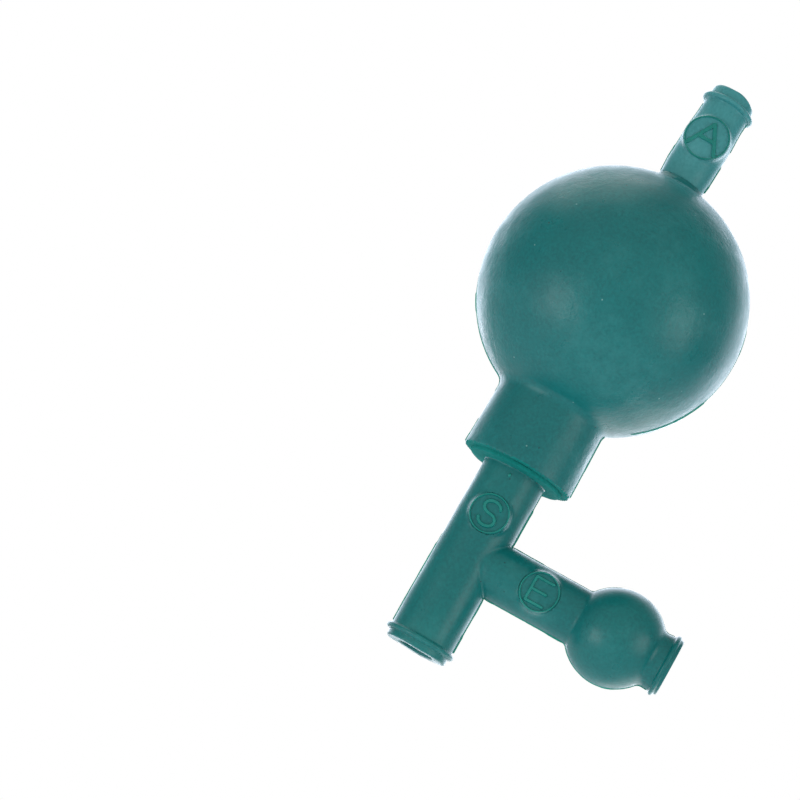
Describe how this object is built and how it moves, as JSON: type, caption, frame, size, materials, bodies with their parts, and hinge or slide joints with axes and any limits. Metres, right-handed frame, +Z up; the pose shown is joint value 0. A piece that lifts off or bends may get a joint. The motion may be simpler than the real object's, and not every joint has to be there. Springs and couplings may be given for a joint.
{
  "type": "pipette filler bulb",
  "caption": "Rubber pipette filler: a large squeeze bulb with an air valve on top and, below it, a tee with a pipette socket, a side arm and a small blow-out bulb.",
  "frame": {"origin": "centre of the pipette socket's mouth", "axes": "+Z up the pipette leg through the large bulb to the air valve, +X along the side arm, -Y towards the reader of the raised letters"},
  "size_m": [0.0793, 0.06, 0.1428],
  "materials": {
    "bulb_rubber": "satin moulded rubber",
    "air_tube_rubber": "satin moulded rubber",
    "tee_rubber": "satin moulded rubber",
    "valve_ball_steel": "polished ball"
  },
  "bodies": {
    "tee": {"tee_body": "tee_rubber", "suction_valve_ball": "valve_ball_steel", "outlet_valve_ball": "valve_ball_steel"},
    "bulb": {"main_bulb": "bulb_rubber", "air_valve_tube": "air_tube_rubber", "air_valve_ball": "valve_ball_steel"},
    "bulb_front": {"bulb_front_wall": "bulb_rubber"},
    "bulb_back": {"bulb_back_wall": "bulb_rubber"},
    "small_bulb_front": {"small_bulb_front_wall": "tee_rubber"},
    "small_bulb_back": {"small_bulb_back_wall": "tee_rubber"},
    "air_badge": {"air_badge_pad": "air_tube_rubber"},
    "air_back": {"air_back_pad": "air_tube_rubber"},
    "suction_badge": {"suction_badge_pad": "tee_rubber"},
    "suction_back": {"suction_back_pad": "tee_rubber"},
    "outlet_badge": {"outlet_badge_pad": "tee_rubber"},
    "outlet_back": {"outlet_back_pad": "tee_rubber"}
  },
  "joints": [
    {"name": "bulb_swivel", "type": "hinge", "parent": "tee", "child": "bulb", "pos_m": [0, 0, 0.0446], "axis": [0, 0, 1], "range_deg": [-180, 180]},
    {"name": "bulb_squeeze", "type": "slide", "parent": "bulb", "child": "bulb_front", "axis": [0, 1, 0], "range_m": [0, 0.01], "stiffness_N_per_m": 1500},
    {"name": "bulb_squeeze_back", "type": "slide", "parent": "bulb", "child": "bulb_back", "axis": [0, -1, 0], "range_m": [0, 0.01]},
    {"name": "small_bulb_squeeze", "type": "slide", "parent": "tee", "child": "small_bulb_front", "axis": [0, 1, 0], "range_m": [0, 0.0035], "stiffness_N_per_m": 900},
    {"name": "small_bulb_squeeze_back", "type": "slide", "parent": "tee", "child": "small_bulb_back", "axis": [0, -1, 0], "range_m": [0, 0.0035]},
    {"name": "air_valve_pinch", "type": "slide", "parent": "bulb", "child": "air_badge", "axis": [0, 1, 0], "range_m": [0, 0.0008], "stiffness_N_per_m": 4000},
    {"name": "air_valve_pinch_back", "type": "slide", "parent": "bulb", "child": "air_back", "axis": [0, -1, 0], "range_m": [0, 0.0008]},
    {"name": "suction_valve_pinch", "type": "slide", "parent": "tee", "child": "suction_badge", "axis": [0, 1, 0], "range_m": [0, 0.001], "stiffness_N_per_m": 4000},
    {"name": "suction_valve_pinch_back", "type": "slide", "parent": "tee", "child": "suction_back", "axis": [0, -1, 0], "range_m": [0, 0.001]},
    {"name": "outlet_valve_pinch", "type": "slide", "parent": "tee", "child": "outlet_badge", "axis": [0, 1, 0], "range_m": [0, 0.0008], "stiffness_N_per_m": 4000},
    {"name": "outlet_valve_pinch_back", "type": "slide", "parent": "tee", "child": "outlet_back", "axis": [0, -1, 0], "range_m": [0, 0.0008]}
  ],
  "couplings": [
    {"joint": "bulb_squeeze_back", "follows": "bulb_squeeze", "ratio": 1},
    {"joint": "small_bulb_squeeze_back", "follows": "small_bulb_squeeze", "ratio": 1},
    {"joint": "air_valve_pinch_back", "follows": "air_valve_pinch", "ratio": 1},
    {"joint": "suction_valve_pinch_back", "follows": "suction_valve_pinch", "ratio": 1},
    {"joint": "outlet_valve_pinch_back", "follows": "outlet_valve_pinch", "ratio": 1}
  ]
}
